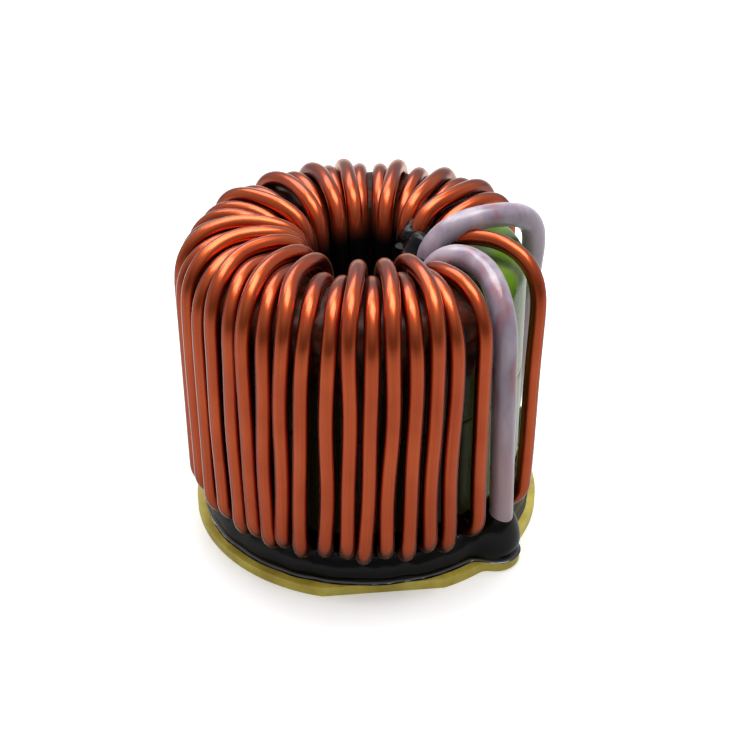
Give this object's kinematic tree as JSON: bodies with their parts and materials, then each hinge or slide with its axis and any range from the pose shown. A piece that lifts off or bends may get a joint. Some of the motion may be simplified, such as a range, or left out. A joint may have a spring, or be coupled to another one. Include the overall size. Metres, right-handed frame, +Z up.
{
  "type": "toroidal power inductor",
  "caption": "Toroidal choke: thick enamelled wire wound on a stacked ring core, with sleeved lead ends brought over the top to a tabbed round base board and black resin round its foot.",
  "frame": {"origin": "middle of the base board's underside, on the coil's axis", "axes": "+Z up along the coil's axis; -Y is the side seen in front; both leads come down on the +X side"},
  "size_m": [0.0559, 0.0564, 0.0504],
  "materials": {
    "core_coating": "smooth green epoxy coat over pressed metal powder",
    "enamelled_wire": "copper wire under red-brown enamel, satin with bright bends",
    "sleeve": "milky heat-resistant tubing, slightly see-through",
    "fibreglass_board": "olive-yellow glass fibre laminate with routed edges",
    "black_resin": "black potting resin, glossy, set in drips and mounds"
  },
  "bodies": {
    "root": {"core_lower": "core_coating", "core_upper": "core_coating", "winding": "enamelled_wire", "sleeve_front": "sleeve", "sleeve_rear": "sleeve", "base_board": "fibreglass_board", "resin_bed": "black_resin", "resin_plug": "black_resin"}
  },
  "joints": []
}
